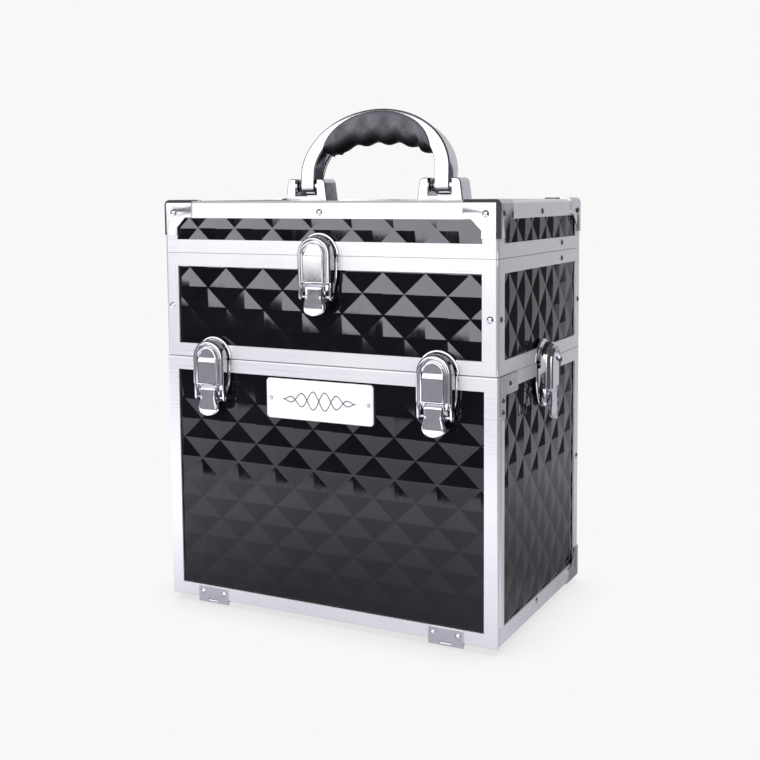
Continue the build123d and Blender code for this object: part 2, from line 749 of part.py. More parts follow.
save("handle_bow", stand * bow)

grip_top = arch(50.5, 30.0, 33.2)
grip_low = arch(40.0, 28.0, 9.0)
grip = upright(grip_top - grip_low, grip_half_depth)
grip &= block(-60, 60, -20, 20, 28.0, 70)
grip -= upright(outer_arch - inner_arch, bow_half_depth)
save("handle_grip", stand * grip)

# Moving halves of the five latches ---------------------------------------------------------------

latches = {
    "left_front": front_places[0],
    "right_front": front_places[1],
    "left_side": side_places[0],
    "right_side": side_places[1],
    "lid": lid_place,
}
for name, place in latches.items():
    save(f"{name}_latch_lever", place * latch_lever())
    save(f"{name}_latch_cover", place * latch_cover())
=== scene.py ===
import json
import math

import bmesh
import bpy
from mathutils import Matrix, Vector

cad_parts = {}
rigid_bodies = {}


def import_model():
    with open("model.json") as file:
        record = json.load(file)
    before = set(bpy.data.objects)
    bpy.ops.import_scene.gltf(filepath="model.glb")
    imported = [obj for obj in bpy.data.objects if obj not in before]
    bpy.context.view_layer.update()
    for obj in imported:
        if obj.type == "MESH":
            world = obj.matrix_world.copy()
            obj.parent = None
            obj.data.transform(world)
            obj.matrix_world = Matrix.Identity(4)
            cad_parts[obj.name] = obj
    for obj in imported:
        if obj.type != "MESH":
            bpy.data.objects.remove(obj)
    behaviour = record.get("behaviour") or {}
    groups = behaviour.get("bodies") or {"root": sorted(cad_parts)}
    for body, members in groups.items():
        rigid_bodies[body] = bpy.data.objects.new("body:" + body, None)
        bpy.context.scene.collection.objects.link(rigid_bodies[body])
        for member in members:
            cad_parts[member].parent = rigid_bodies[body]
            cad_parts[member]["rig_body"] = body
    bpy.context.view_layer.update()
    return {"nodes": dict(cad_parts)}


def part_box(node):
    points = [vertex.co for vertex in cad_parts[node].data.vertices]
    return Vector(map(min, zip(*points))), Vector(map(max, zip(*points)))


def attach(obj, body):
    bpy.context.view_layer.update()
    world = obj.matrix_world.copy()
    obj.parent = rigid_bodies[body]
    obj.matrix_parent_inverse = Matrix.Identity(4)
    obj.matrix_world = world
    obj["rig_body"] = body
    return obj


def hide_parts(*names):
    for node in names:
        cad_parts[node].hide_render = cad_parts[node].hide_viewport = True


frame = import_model()

# Boards of the lower box and the door -----------------------------------------------------
# Fibreboard faced with a glossy black laminate, pressed with low diamonds of four shallow
# facets. The boards are cut square and slide into the channels of the aluminium rails.

mm = 0.001
scene = bpy.context.scene
board_thickness = 4.0 * mm
emboss_depth = 0.72 * mm
crease_width = 0.45 * mm
front_pitch = (18.1 * mm, 16.6 * mm)
side_pitch = (16.65 * mm, 17.1 * mm)
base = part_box("lower_bottom_edges")[0].z
case_y = (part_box("upper_top_rails")[0].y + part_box("upper_top_rails")[1].y) / 2


def node(tree, kind, inputs=None, **settings):
    """A shader node with its settings and unlinked inputs."""
    made = tree.nodes.new("ShaderNode" + kind)
    for key, value in settings.items():
        setattr(made, key, value)
    for key, value in (inputs or {}).items():
        made.inputs[key].default_value = value
    return made


def join(tree, source, target, output=0, input=0):
    tree.links.new(source.outputs[output], target.inputs[input])


def finish_material(name, colour, roughness, metallic=0.0, **sockets):
    """A named material with its plain values on the shader's own sockets."""
    made = bpy.data.materials.new(name)
    made.use_nodes = True
    shader = made.node_tree.nodes["Principled BSDF"]
    shader.inputs["Base Color"].default_value = (*colour, 1)
    shader.inputs["Roughness"].default_value = roughness
    shader.inputs["Metallic"].default_value = metallic
    for key, value in sockets.items():
        shader.inputs[key.replace("_", " ")].default_value = value
    return made, made.node_tree, shader


def noise(tree, scale, detail=3.0, stretch=(1, 1, 1), turn=(0, 0, 0)):
    """Noise in the piece's own place, stretched along a grain."""
    place = node(tree, "TexCoord")
    grain = node(tree, "Mapping", {"Scale": stretch, "Rotation": turn})
    pattern = node(tree, "TexNoise", {"Scale": scale, "Detail": detail})
    join(tree, place, grain, "Object", "Vector")
    join(tree, grain, pattern, 0, "Vector")
    return pattern


def spread(tree, source, low, high, start=0.3, end=0.7):
    """Bring a pattern to a range of values."""
    limits = {"From Min": start, "From Max": end, "To Min": low, "To Max": high}
    made = node(tree, "MapRange", limits)
    join(tree, source, made, 0, "Value")
    return made


def tint(tree, factor, low, high):
    """Colour between two colours by a factor."""
    made = node(tree, "Mix", data_type="RGBA")
    made.inputs[6].default_value = (*low, 1)
    made.inputs[7].default_value = (*high, 1)
    join(tree, factor, made, 0, 0)
    return made


def tinted(tree, shader, pattern, low, high):
    """Base colour that drifts between two colours with a pattern."""
    join(tree, tint(tree, spread(tree, pattern, 0, 1), low, high), shader, 2, "Base Color")


def surface(tree, shader, height, strength, distance):
    """Fine relief from a height pattern."""
    made = node(tree, "Bump", {"Strength": strength, "Distance": distance})
    join(tree, height, made, 0, "Height")
    join(tree, made, shader, 0, "Normal")
    return made


def black_laminate():
    made, tree, shader = finish_material("black_laminate", (0.002, 0.002, 0.003), 0.05, IOR=1.5)
    haze = noise(tree, 22, 4)
    tinted(tree, shader, haze, (0.001, 0.001, 0.0016), (0.0028, 0.0028, 0.004))
    scuff = noise(tree, 160, 5, (1, 1, 0.15))
    join(tree, spread(tree, scuff, 0.035, 0.085, 0.35, 0.75), shader, 0, "Roughness")
    surface(tree, shader, noise(tree, 900, 2), 0.05, 0.02 * mm)
    return made


def soften(part, geom, width, segments, affect="EDGES"):
    """Round edges or corners by a width."""
    bmesh.ops.bevel(part, geom=geom, offset=width, affect=affect, segments=segments, profile=0.5, material=-1)


def merge_into(bm, part):
    """Add a finished part to a piece made of several."""
    mesh = bpy.data.meshes.new("part")
    part.to_mesh(mesh)
    part.free()
    bm.from_mesh(mesh)
    bpy.data.meshes.remove(mesh)


def turned(across, up, origin):
    """Place for a part drawn flat: its X lies along across, its Y along up, its Z faces out."""
    across = Vector(across)
    up = Vector(up)
    columns = (across, up, across.cross(up))
    return Matrix.Translation(origin) @ Matrix(columns).transposed().to_4x4()


def pressed_board(across, up, origin, size, thickness, pitch, phase):
    """One board about its middle: diamonds pressed in its face, creased softly, and its plain back."""
    part = bmesh.new()
    columns = int(size[0] / pitch[0]) + 4
    rows = int(size[1] / pitch[1]) + 4
    columns += columns % 2
    rows += rows % 2
    bmesh.ops.create_grid(part, x_segments=columns, y_segments=rows, size=0.5)
    shift = [math.remainder(phase[axis], 2 * pitch[axis]) for axis in (0, 1)]
    bmesh.ops.scale(part, vec=(columns * pitch[0], rows * pitch[1], 1), verts=part.verts)
    low = []
    high = []
    for vert in part.verts:
        steps = round(vert.co.x / pitch[0]) + round(vert.co.y / pitch[1])
        (high if steps % 2 else low).append(vert)
    bmesh.ops.connect_verts(part, verts=low)
    bmesh.ops.translate(part, vec=(0, 0, -emboss_depth), verts=low)
    bmesh.ops.translate(part, vec=(shift[0], shift[1], 0), verts=part.verts)
    for axis, sign in ((0, 1), (0, -1), (1, 1), (1, -1)):
        way = Vector((0, 0, 0))
        way[axis] = sign
        everything = part.verts[:] + part.edges[:] + part.faces[:]
        bmesh.ops.bisect_plane(part, geom=everything, plane_co=way * size[axis] / 2, plane_no=way,
                               clear_outer=True)
    creases = [edge for edge in part.edges if len(edge.link_faces) == 2]
    soften(part, creases, crease_width, 2)
    made = bmesh.ops.extrude_face_region(part, geom=part.faces[:], use_keep_orig=True)
    back = [item for item in made["geom"] if isinstance(item, bmesh.types.BMVert)]
    bmesh.ops.scale(part, vec=(1, 1, 0), verts=back)
    bmesh.ops.translate(part, vec=(0, 0, -thickness), verts=back)
    bmesh.ops.recalc_face_normals(part, faces=part.faces[:])
    bmesh.ops.transform(part, matrix=turned(across, up, origin), verts=part.verts)
    return part


def board_on(face, low, high, thickness, pitch, lattice):
    """A board on one face of a tier. The lattice is a meeting point of four diamonds, as (along, height)."""
    middle = (low + high) / 2
    size = high - low
    ways = {
        "front": ((1, 0, 0), Vector((middle.x, low.y, middle.z)), size.x, lattice[0] - middle.x),
        "rear": ((-1, 0, 0), Vector((middle.x, high.y, middle.z)), size.x, middle.x - lattice[0]),
        "right": ((0, 1, 0), Vector((high.x, middle.y, middle.z)), size.y, lattice[0] - middle.y),
        "left": ((0, -1, 0), Vector((low.x, middle.y, middle.z)), size.y, middle.y - lattice[0]),
    }
    across, origin, width, phase = ways[face]
    phases = (phase, lattice[1] - middle.z)
    return pressed_board(across, (0, 0, 1), origin, (width, size.z), thickness, pitch, phases)


def piece(name, bm, material, body, slot, *stands_for, sharp=35.0):
    """Make a piece from a bmesh, smooth across its soft edges, and hang it on its body."""
    mesh = bpy.data.meshes.new(name)
    bm.to_mesh(mesh)
    bm.free()
    mesh.shade_smooth()
    mesh.set_sharp_from_angle(angle=math.radians(sharp))
    mesh.materials.append(material)
    made = bpy.data.objects.new(name, mesh)
    scene.collection.objects.link(made)
    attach(made, body)
    if stands_for:
        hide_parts(*stands_for)
    return made


def finish(node_name, material):
    """Give a cut part that keeps its own shape its material."""
    slots = frame["nodes"][node_name].data.materials
    slots.clear()
    slots.append(material)


laminate = black_laminate()


def at_height(along_x, height):
    """A lattice point on the front, from the case's middle and its lowest edge."""
    return along_x * mm, base + height * mm


def at_side(along_y, height):
    """The same on a side, from the middle of the depth."""
    return case_y + along_y * mm, base + height * mm


lower_side = at_side(-21.5, 152.7)
lower_front = at_height(-9.0, 154.0)
low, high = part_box("lower_side_boards")
boards = bmesh.new()
for face in ("left", "right"):
    merge_into(boards, board_on(face, low, high, board_thickness, side_pitch, lower_side))
piece("lower_side_boards_pressed", boards, laminate, "lower_box", "black_panel",
      "lower_side_boards", sharp=0.1)

low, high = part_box("lower_rear_board")
rear = board_on("rear", low, high, board_thickness, front_pitch, lower_front)
piece("lower_rear_board_pressed", rear, laminate, "lower_box", "black_panel", "lower_rear_board", sharp=0.1)

low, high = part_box("door_board")
door = board_on("front", low, high, high.y - low.y, front_pitch, lower_front)
piece("door_board_pressed", door, laminate, "door", "black_panel", "door_board", sharp=0.1)


# Boards of the upper box and the lid ------------------------------------------------------
# The same pressed laminate. The two side boards cover the ends of the front and rear boards,
# and the lid's top board drops in between its four walls.

def tier_boards(name, body, front_lattice, side_lattice):
    low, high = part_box(name)
    inset = Vector((board_thickness, 0, 0))
    boards = bmesh.new()
    inner_low = low + inset
    inner_high = high - inset
    for face in ("front", "rear"):
        merge_into(boards, board_on(face, inner_low, inner_high, board_thickness, front_pitch, front_lattice))
    for face in ("left", "right"):
        merge_into(boards, board_on(face, low, high, board_thickness, side_pitch, side_lattice))
    piece(name + "_pressed", boards, laminate, body, "black_panel", name, sharp=0.1)


lid_phase = -8.45
tier_boards("upper_boards", "upper_box", at_height(0.2, 265.0), at_side(-20.3, 266.0))
tier_boards("lid_wall_boards", "lid", at_height(lid_phase, 314.0), at_side(-20.3, 317.3))

low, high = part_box("lid_top_board")
middle = (low + high) / 2
size = high - low
top_origin = Vector((middle.x, middle.y, high.z))
top = pressed_board((1, 0, 0), (0, 1, 0), top_origin, size.xy, size.z, front_pitch, (lid_phase * mm, 0))
piece("lid_top_board_pressed", top, laminate, "lid", "black_panel", "lid_top_board", sharp=0.1)
for floor_name in ("lower_floor_board", "upper_floor_board"):
    finish(floor_name, laminate)


# Aluminium rails, strips and edges ---------------------------------------------------------
# Thin extrusions of anodised aluminium, cut and mitred at the corners. They clamp the boards'
# edges, and their own edges are eased by the finishing drum.

edge_ease = 0.3 * mm


def satin_aluminium(name, grain):
    made, tree, shader = finish_material(name, (0.9, 0.9, 0.93), 0.3, 0.7)
    cloud = noise(tree, 14, 4)
    tinted(tree, shader, cloud, (0.86, 0.86, 0.9), (0.93, 0.93, 0.95))
    streak = noise(tree, 3, 4, grain)
    join(tree, spread(tree, streak, 0.26, 0.4), shader, 0, "Roughness")
    surface(tree, shader, streak, 0.12, 0.03 * mm)
    return made


level_aluminium = satin_aluminium("satin_aluminium_level", (4, 4, 900))
upright_aluminium = satin_aluminium("satin_aluminium_upright", (700, 700, 4))


def flatten(made):
    """Let the large faces set the shading of the eased edges beside them."""
    weights = made.modifiers.new("flat_faces", "WEIGHTED_NORMAL")
    weights.weight = 100
    weights.keep_sharp = True


def cut_part(node_name):
    """The mesh of a cut part with its loose facets merged."""
    bm = bmesh.new()
    bm.from_mesh(frame["nodes"][node_name].data)
    bmesh.ops.remove_doubles(bm, verts=bm.verts, dist=0.002 * mm)
    bmesh.ops.dissolve_limit(bm, angle_limit=math.radians(0.5), verts=bm.verts, edges=bm.edges)
    return bm


def eased(node_name, material, slot, width=edge_ease, segments=2):
    """A copy of a cut part with its edges eased."""
    body = frame["nodes"][node_name]["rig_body"]
    made = piece(node_name + "_eased", cut_part(node_name), material, body, slot, node_name, sharp=40)
    rounding = made.modifiers.new("eased_edges", "BEVEL")
    rounding.width = width
    rounding.segments = segments
    rounding.limit_method = "ANGLE"
    rounding.angle_limit = math.radians(40)
    flatten(made)


for node_name in ("lower_bottom_edges", "lower_top_rails", "upper_bottom_rails", "upper_top_rails",
                  "lid_top_edges", "lid_bottom_rails", "door_frame_rails"):
    eased(node_name, level_aluminium, "satin_aluminium")
for node_name in ("lower_corner_strips", "upper_corner_strips", "lid_corner_strips"):
    eased(node_name, upright_aluminium, "satin_aluminium")


# Pressed steel: guards, brackets, hinges and rivets ------------------------------------------
# Mild steel blanks, pressed, tumbled and bright plated, held with domed rivets.

def bright_steel(name, colour, low, high):
    made, tree, shader = finish_material(name, colour, low, 1.0)
    cloud = noise(tree, 30, 4)
    darker = tuple(0.92 * c for c in colour)
    tinted(tree, shader, cloud, darker, colour)
    join(tree, spread(tree, noise(tree, 240, 4), low, high), shader, 0, "Roughness")
    surface(tree, shader, noise(tree, 420, 3), 0.08, 0.04 * mm)
    return made


steel = bright_steel("polished_steel", (0.83, 0.83, 0.86), 0.12, 0.22)
rivet_steel = bright_steel("rivet_steel", (0.8, 0.8, 0.83), 0.08, 0.16)
raised_leg = 9.2 * mm
web_drop = 0.55 * mm


def pressed_guards(node_name, body, end):
    """Three-legged corner guards: raised legs along the edges and webs pushed in between them."""
    low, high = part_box(node_name)
    all_corners = low.y < case_y - 50 * mm
    part = cut_part(node_name)
    inwards = 1 if end < (low.z + high.z) / 2 else -1
    cuts = [(Vector((side * (high.x - raised_leg), 0, 0)), (1, 0, 0)) for side in (-1, 1)]
    cuts.append((Vector((0, high.y - raised_leg, 0)), (0, 1, 0)))
    cuts.append((Vector((0, 0, end + inwards * raised_leg)), (0, 0, 1)))
    if all_corners:
        cuts.append((Vector((0, low.y + raised_leg, 0)), (0, 1, 0)))
    for point, normal in cuts:
        everything = part.verts[:] + part.edges[:] + part.faces[:]
        bmesh.ops.bisect_plane(part, geom=everything, plane_co=point, plane_no=normal)
    webs = []
    for face in part.faces:
        centre = face.calc_center_median()
        from_y = min(high.y - centre.y, centre.y - low.y) if all_corners else high.y - centre.y
        apart = (high.x - abs(centre.x), from_y, abs(centre.z - end))
        flat = [axis for axis in range(3) if abs(face.normal[axis]) > 0.99 and apart[axis] < 0.05 * mm]
        if flat and all(apart[axis] > raised_leg for axis in range(3) if axis != flat[0]):
            webs.append(face)
    bmesh.ops.inset_region(part, faces=webs, thickness=web_drop, depth=-web_drop, use_even_offset=True,
                           use_boundary=True)
    flatten(piece(node_name + "_pressed", part, steel, body, "polished_steel", node_name, sharp=30))


pressed_guards("lid_corner_guards", "lid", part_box("lid_corner_guards")[1].z)
pressed_guards("lower_corner_guards", "lower_box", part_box("lower_corner_guards")[0].z)
for node_name in ("front_corner_brackets", "door_hinge_fixed_leaves", "door_hinge_moving_leaves",
                  "lid_hinge_box_leaves", "lid_hinge_lid_leaves"):
    eased(node_name, steel, "polished_steel", 0.2 * mm)
for node_name in ("lower_rivets", "upper_rivets", "lid_rivets", "door_rivets",
                  "door_hinge_pins", "lid_hinge_pins"):
    finish(node_name, rivet_steel)


# Draw latches -------------------------------------------------------------------------------
# Five stamped and chromed latches: a fixed plate on each side of the joint, a domed draw cover
# and a finger lever. The lever turns on the lower plate and carries the cover on its draw pin.

chrome_colour = (0.86, 0.86, 0.88)
catch_half = 17.4 * mm
catch_top = 17.9 * mm
cover_half = 15.0 * mm
cover_top = 15.5 * mm
cover_low = -20.6 * mm
cover_back = 3.6 * mm
lever_pin = Vector((0, -24.5 * mm, 6.0 * mm))
draw_pin = Vector((0, -32.0 * mm, 5.5 * mm))
pin_radius = 1.2 * mm
plate_field = 0.7 * mm
ear_offset = 7.5 * mm
arm_offset = 13.7 * mm
cheek_offset = 6.2 * mm
lug_width = 1.6 * mm


def bright_chrome():
    made, tree, shader = finish_material("bright_chrome", chrome_colour, 0.06, 1.0)
    cloud = noise(tree, 40, 3)
    tinted(tree, shader, cloud, (0.8, 0.8, 0.83), (0.9, 0.9, 0.92))
    join(tree, spread(tree, noise(tree, 260, 4), 0.09, 0.14), shader, 0, "Roughness")
    surface(tree, shader, noise(tree, 120, 2), 0.06, 0.06 * mm)
    return made


chrome = bright_chrome()


def outline(bm, points, rounding=0.0, segments=6, corners=None):
    """A flat face with rounded corners."""
    verts = [bm.verts.new((x, y, 0)) for x, y in points]
    bm.faces.new(verts)
    if rounding:
        rounded = verts if corners is None else [verts[i] for i in corners]
        soften(bm, rounded, rounding, segments, "VERTICES")
    bm.faces.ensure_lookup_table()
    return bm.faces[0]


def arched_outline(bm, half, low, high):
    """A flat face with a half-round head and, where the low edge lies below its middle, straight sides."""
    head = Matrix.Translation((0, high - half, 0))
    bmesh.ops.create_circle(bm, cap_ends=True, radius=half, segments=64, matrix=head)
    bmesh.ops.bisect_plane(bm, geom=bm.verts[:] + bm.edges[:] + bm.faces[:], plane_co=(0, high - half, 0),
                           plane_no=(0, -1, 0), clear_outer=True)
    bmesh.ops.remove_doubles(bm, verts=bm.verts, dist=0.05 * mm)
    if high - half - low > 0.1 * mm:
        foot = [edge for edge in bm.edges
                if all(abs(vert.co.y - high + half) < 0.01 * mm for vert in edge.verts)]
        made = bmesh.ops.extrude_edge_only(bm, edges=foot)
        lowered = [item for item in made["geom"] if isinstance(item, bmesh.types.BMVert)]
        bmesh.ops.translate(bm, vec=(0, low - high + half, 0), verts=lowered)
    bmesh.ops.dissolve_limit(bm, angle_limit=0.01, verts=bm.verts, edges=bm.edges,
                             use_dissolve_boundaries=False)
    bm.faces.ensure_lookup_table()
    return bm.faces[0]


def built_up(bm, face, steps, start=0.0):
    """Raise a flat face over its own back, step by step. Each step is an inset and a rise."""
    bmesh.ops.translate(bm, vec=(0, 0, start), verts=face.verts)
    made = bmesh.ops.extrude_face_region(bm, geom=[face], use_keep_orig=True)
    front = next(item for item in made["geom"] if isinstance(item, bmesh.types.BMFace))
    bmesh.ops.translate(bm, vec=(0, 0, steps[0][1]), verts=front.verts)
    for inset, rise in steps[1:]:
        if inset:
            bmesh.ops.inset_region(bm, faces=[front], thickness=inset, use_even_offset=True)
        else:
            front = bmesh.ops.extrude_discrete_faces(bm, faces=[front])["faces"][0]
        bmesh.ops.translate(bm, vec=(0, 0, rise), verts=front.verts)
    return front


def in_mm(steps):
    return [(inset * mm, rise * mm) for inset, rise in steps]


def pin(length, centre, radius=pin_radius, crown=0.35 * mm):
    """A round pin along X with eased ends."""
    part = bmesh.new()
    bmesh.ops.create_cone(part, cap_ends=True, segments=32, radius1=radius, radius2=radius, depth=length)
    rims = [edge for edge in part.edges if abs(edge.verts[0].co.z - edge.verts[1].co.z) < 1e-7]
    soften(part, rims, crown, 3)
    bmesh.ops.rotate(part, matrix=Matrix.Rotation(math.pi / 2, 3, "Y"), verts=part.verts)
    bmesh.ops.translate(part, vec=centre, verts=part.verts)
    return part


def rounded_plate(part, face):
    """A pressed plate with a soft raised rim round its flat middle."""
    rim = [(0, 0.45), (0.3, 0.5), (0.5, 0.2), (0.45, 0.05), (0.4, -0.35), (0.35, -0.15)]
    built_up(part, face, in_mm(rim))
    bmesh.ops.recalc_face_normals(part, faces=part.faces[:])


def latch_catch_shape():
    """Plate above the joint, with its pressed rim and the hook bar that holds the cover."""
    part = bmesh.new()
    rounded_plate(part, arched_outline(part, catch_half, 0.5 * mm, catch_top))
    bar = bmesh.new()
    corners = [(-8, 9), (8, 9), (8, 11.5), (-8, 11.5)]
    face = outline(bar, [(x * mm, y * mm) for x, y in corners])
    built_up(bar, face, in_mm([(0, 2.1), (0.4, 0.4)]), plate_field)
    bmesh.ops.recalc_face_normals(bar, faces=bar.faces[:])
    merge_into(part, bar)
    return part


def disc(radius, thickness, centre, reach=0.0, edge=0.3 * mm):
    """A flat lug about an axis along X, its upper half drawn upwards by a reach."""
    part = bmesh.new()
    bmesh.ops.create_cone(part, cap_ends=True, segments=32, radius1=radius, radius2=radius, depth=thickness)
    rims = [item for item in part.edges if abs(item.verts[0].co.z - item.verts[1].co.z) < 1e-7]
    soften(part, rims, edge, 2)
    upper = [vert for vert in part.verts if vert.co.y > -1e-7]
    bmesh.ops.translate(part, vec=(0, reach, 0), verts=upper)
    bmesh.ops.rotate(part, matrix=Matrix.Rotation(math.pi / 2, 3, "Y"), verts=part.verts)
    bmesh.ops.translate(part, vec=centre, verts=part.verts)
    bmesh.ops.recalc_face_normals(part, faces=part.faces[:])
    return part


def latch_base_shape():
    """Plate below the joint, tapered to its foot, with two ears for the lever's pin."""
    part = bmesh.new()
    corners = [(-16, -0.5), (-16, -20), (-8.5, -36.8), (8.5, -36.8), (16, -20), (16, -0.5)]
    rounded_plate(part, outline(part, [(x * mm, y * mm) for x, y in corners], 6 * mm, 6, (1, 2, 3, 4)))
    for side in (-1, 1):
        ear = disc(2.8 * mm, 1.2 * mm, Vector((0, 0, 0)), 3.0 * mm)
        bmesh.ops.rotate(ear, matrix=Matrix.Rotation(-math.pi / 2, 3, "X"), verts=ear.verts)
        bmesh.ops.translate(ear, vec=lever_pin + Vector((side * ear_offset, 0, 0)), verts=ear.verts)
        merge_into(part, ear)
    return part


def latch_cover_shape():
    """Domed draw cover: rounded rim, groove, raised frame round a panel and its scoop, and two arms."""
    part = bmesh.new()
    rim = [(0, 4.4), (0.15, 0.8), (0.4, 0.75), (0.75, 0.6), (0.8, 0.25), (0.6, -0.15), (0.5, -0.75)]
    rim.append((0.5, -0.4))
    frame_round_panel = [(0.6, 0), (0.35, 0.3), (0.25, 1.9), (0.35, 0.65), (0.5, 0.25), (0.5, -0.15)]
    frame_round_panel.append((0.4, -0.5))
    face = arched_outline(part, cover_half, cover_low, cover_top)
    front = built_up(part, face, in_mm(rim + frame_round_panel), cover_back)
    level = front.verts[0].co.z
    back = min((item for item in part.faces if len(item.verts) > 30), key=lambda item: item.verts[0].co.z)
    bmesh.ops.inset_region(part, faces=[back], thickness=1.2 * mm, use_even_offset=True)
    deep = bmesh.ops.extrude_discrete_faces(part, faces=[back])["faces"][0]
    bmesh.ops.translate(part, vec=(0, 0, 4.4 * mm), verts=deep.verts)
    for vert in part.verts:
        if vert.co.y < cover_low / 2 and vert.co.z > cover_back + 4.5 * mm:
            inset = vert.co.y - cover_low
            vert.co.y = cover_low + (0.02 * inset if inset < 5.8 * mm else inset - 5.6 * mm)
    for height in (-19.0, -2.5, -2.1, -1.3, -0.4, 0.4, 1.1, 1.5):
        panel = [item for item in part.faces
                 if all(abs(vert.co.z - level) < 0.01 * mm for vert in item.verts)]
        rims = list({item for face in panel for item in face.edges})
        corners = list({item for face in panel for item in face.verts})
        bmesh.ops.bisect_plane(part, geom=panel + rims + corners, plane_co=(0, height * mm, 0),
                               plane_no=(0, 1, 0))
    for vert in part.verts:
        if abs(vert.co.z - level) < 0.01 * mm and vert.co.y > -2.0 * mm:
            ramp = min(1.0, (vert.co.y / mm + 2.1) / 3.2)
            vert.co.z -= 1.3 * ramp ** 1.4 * mm
    bmesh.ops.recalc_face_normals(part, faces=part.faces[:])
    for side in (-1, 1):
        merge_into(part, disc(2.9 * mm, lug_width, draw_pin + Vector((side * arm_offset, 0, 0)), 14.0 * mm))
    return part


def latch_lever_shape():
    """Finger lever: rolled head, waisted tab with turned edges and a flared tip, and the draw pin."""
    part = bmesh.new()
    bmesh.ops.create_grid(part, x_segments=30, y_segments=60, size=0.5)
    head = -21.4 * mm
    tip = -46.5 * mm
    end = 6.2 * mm
    for vert in part.verts:
        along = 0.5 - vert.co.y
        across = 2 * vert.co.x
        height = head + (tip - head) * along
        flare = max(0.0, min(1.0, (along - 0.42) / 0.36))
        waist = 0.35 * math.sin(math.pi * min(1, along / 0.6))
        reach = (8.3 - waist + 1.6 * flare ** 2 * (3 - 2 * flare)) * mm
        past = max(0.0, (tip + end - height) / end)
        reach *= math.sqrt(max(0.0, 1 - min(1, past) ** 2.2))
        roll = max(0.0, 1 - along / 0.17)
        kick = max(0.0, (along - 0.78) / 0.22)
        edge = math.exp(-((abs(across) - 0.84) / 0.07) ** 2) * (1 - roll)
        turned_down = max(0.0, (abs(across) - 0.88) / 0.12) ** 2
        out = 10.5 * mm + (0.3 * edge - 0.8 * turned_down - 3.4 * roll ** 2.2 + 1.5 * kick ** 1.5) * mm
        vert.co = (across * reach, height, out)
    bmesh.ops.remove_doubles(part, verts=part.verts, dist=0.005 * mm)
    bmesh.ops.recalc_face_normals(part, faces=part.faces[:])
    if sum(item.normal.z for item in part.faces) < 0:
        bmesh.ops.reverse_faces(part, faces=part.faces[:])
    made = bmesh.ops.extrude_face_region(part, geom=part.faces[:], use_keep_orig=True)
    under = [item for item in made["geom"] if isinstance(item, bmesh.types.BMVert)]
    bmesh.ops.translate(part, vec=(0, 0, -1.4 * mm), verts=under)
    bmesh.ops.recalc_face_normals(part, faces=part.faces[:])
    rims = [item for item in part.edges if item.calc_face_angle(0) > math.radians(50)]
    soften(part, rims, 0.3 * mm, 3)
    merge_into(part, pin(12.8 * mm, lever_pin, 2.6 * mm, 0.5 * mm))
    for side in (-1, 1):
        lug_place = draw_pin + Vector((side * cheek_offset, 0, 0))
        merge_into(part, disc(2.4 * mm, lug_width, lug_place, 7.0 * mm))
        web = disc(2.4 * mm, lug_width, Vector((0, 0, 0)), 3.2 * mm)
        bmesh.ops.rotate(web, matrix=Matrix.Rotation(math.pi / 2, 3, "X"), verts=web.verts)
        bmesh.ops.translate(web, vec=lug_place, verts=web.verts)
        merge_into(part, web)
    merge_into(part, pin(30.0 * mm, draw_pin))
    return part


def standing_at(face, along, joint):
    """Where a latch stands: drawn with the joint at its origin, X across and Z out of the face."""
    x_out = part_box("upper_top_rails")[1].x
    y_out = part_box("upper_top_rails")[0].y
    places = {
        "front": turned((1, 0, 0), (0, 0, 1), Vector((along, y_out, joint))),
        "right": turned((0, 1, 0), (0, 0, 1), Vector((x_out, case_y, joint))),
        "left": turned((0, -1, 0), (0, 0, 1), Vector((-x_out, case_y, joint))),
    }
    return places[face]


def middle_of(node_name):
    low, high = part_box(node_name)
    return (low + high) / 2


lower_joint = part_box("door_frame_rails")[1].z + 0.4 * mm
upper_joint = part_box("upper_corner_strips")[1].z + 11.0 * mm
latches = {
    "left_front": standing_at("front", middle_of("left_front_latch_lever").x, lower_joint),
    "right_front": standing_at("front", middle_of("right_front_latch_lever").x, lower_joint),
    "left_side": standing_at("left", 0, lower_joint),
    "right_side": standing_at("right", 0, lower_joint),
    "lid": standing_at("front", 0, upper_joint),
}
for name, place in latches.items():
    for part_name, shape in (("latch_lever", latch_lever_shape()), ("latch_cover", latch_cover_shape())):
        bmesh.ops.transform(shape, matrix=place, verts=shape.verts)
        node_name = f"{name}_{part_name}"
        piece(node_name + "_chromed", shape, chrome, node_name, "polished_chrome", node_name)


def latch_plates(node_name, body, shape_of, places):
    """The fixed plates or pins that a node holds, one for each place."""
    plates = bmesh.new()
    for place in places:
        shape = shape_of()
        bmesh.ops.transform(shape, matrix=place, verts=shape.verts)
        merge_into(plates, shape)
    piece(node_name + "_chromed", plates, chrome, body, "polished_chrome", node_name)


def lever_pin_shape():
    return pin(16.2 * mm, lever_pin)


fronts = [latches["left_front"], latches["right_front"]]
sides = [latches["left_side"], latches["right_side"]]
lid_latch = [latches["lid"]]
latch_plates("front_latch_bases", "door", latch_base_shape, fronts)
latch_plates("side_latch_bases", "lower_box", latch_base_shape, sides)
latch_plates("lid_latch_base", "upper_box", latch_base_shape, lid_latch)
latch_plates("front_latch_catches", "upper_box", latch_catch_shape, fronts)
latch_plates("side_latch_catches", "upper_box", latch_catch_shape, sides)
latch_plates("lid_latch_catch", "lid", latch_catch_shape, lid_latch)
latch_plates("front_latch_pins", "door", lever_pin_shape, fronts)
latch_plates("side_latch_pins", "lower_box", lever_pin_shape, sides)
latch_plates("lid_latch_pin", "upper_box", lever_pin_shape, lid_latch)


# Name plate -----------------------------------------------------------------------------------
# A plate of brushed and lacquered metal on the door, with a raised edge and two plain waves of
# raised dark enamel on its field. Held by two small rivets.

